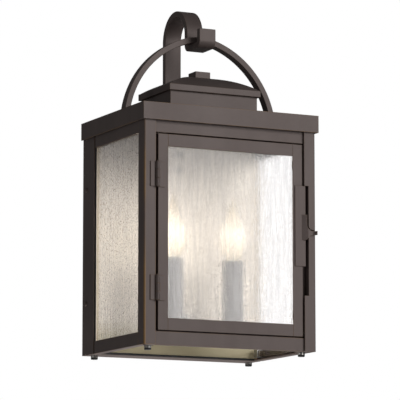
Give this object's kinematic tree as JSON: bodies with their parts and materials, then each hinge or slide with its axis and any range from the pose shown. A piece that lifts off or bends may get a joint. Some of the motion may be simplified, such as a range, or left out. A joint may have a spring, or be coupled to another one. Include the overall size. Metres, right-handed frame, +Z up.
{
  "type": "outdoor wall lantern",
  "caption": "Square metal wall lantern with clear rain glass, a hinged front door with a sliding latch, candle lamps inside, a vented roof, and a bail held by a wall hook.",
  "frame": {"origin": "midway between the two wall screws, in the wall plane", "axes": "+Z up, +Y into the wall, +X to the right of someone facing the lantern"},
  "size_m": [0.2362, 0.184, 0.4383],
  "materials": {
    "bronze": "satin bronze powder coat with worn edges",
    "panel": "satin light panel",
    "rain_glass": "clear seeded rain glass",
    "zinc": "zinc plated",
    "rubber": "matt",
    "sleeve": "satin grey",
    "lamp_glass": "clear, warm light",
    "brass": "satin",
    "socket": "moulded",
    "lead": "insulation"
  },
  "bodies": {
    "house": {"wall_box": "bronze", "side_screws": "bronze", "left_post": "bronze", "right_post": "bronze", "left_top_rail": "bronze", "right_top_rail": "bronze", "left_bottom_rail": "bronze", "right_bottom_rail": "bronze", "front_top_rail": "bronze", "front_bottom_rail": "bronze", "roof": "bronze", "chimney": "bronze", "chimney_lid": "bronze", "finial_block": "bronze", "bail": "bronze", "hook": "bronze", "upper_hinge_post_leaf": "bronze", "lower_hinge_post_leaf": "bronze", "hinge_pins": "bronze", "back_panel": "panel", "left_side_glass": "rain_glass", "right_side_glass": "rain_glass", "wall_plate": "zinc", "corner_rods": "zinc", "corner_nuts": "zinc", "roof_nuts": "zinc", "finial_stud": "zinc", "chimney_bridge": "zinc", "side_glass_clips": "zinc", "lamp_bar": "zinc", "lamp_bar_screws": "zinc", "bail_screws": "zinc", "hook_screws": "zinc", "hook_spacer": "zinc", "nut_caps": "rubber", "lead_grommet": "rubber", "seals": "rubber", "left_candle_sleeve": "sleeve", "right_candle_sleeve": "sleeve", "left_lamp_glass": "lamp_glass", "right_lamp_glass": "lamp_glass", "left_lamp_cap": "brass", "right_lamp_cap": "brass", "ground_screw": "brass", "left_socket": "socket", "right_socket": "socket", "left_lamp_stem": "socket", "right_lamp_stem": "socket", "lamp_leads": "lead"},
    "door": {"door_left_stile": "bronze", "door_right_stile": "bronze", "door_top_rail": "bronze", "door_bottom_rail": "bronze", "door_glass": "rain_glass", "door_glass_clips": "zinc", "upper_hinge_door_leaf": "bronze", "lower_hinge_door_leaf": "bronze"},
    "latch": {"latch_plate": "bronze", "latch_studs": "zinc"}
  },
  "joints": [
    {"name": "door_hinge", "type": "hinge", "parent": "house", "child": "door", "pos_m": [-0.0986, -0.1808, 0], "axis": [0, 0, -1], "range_deg": [0, 165]},
    {"name": "latch_slide", "type": "slide", "parent": "door", "child": "latch", "axis": [0, 0, -1], "range_m": [0, 0.035]}
  ]
}
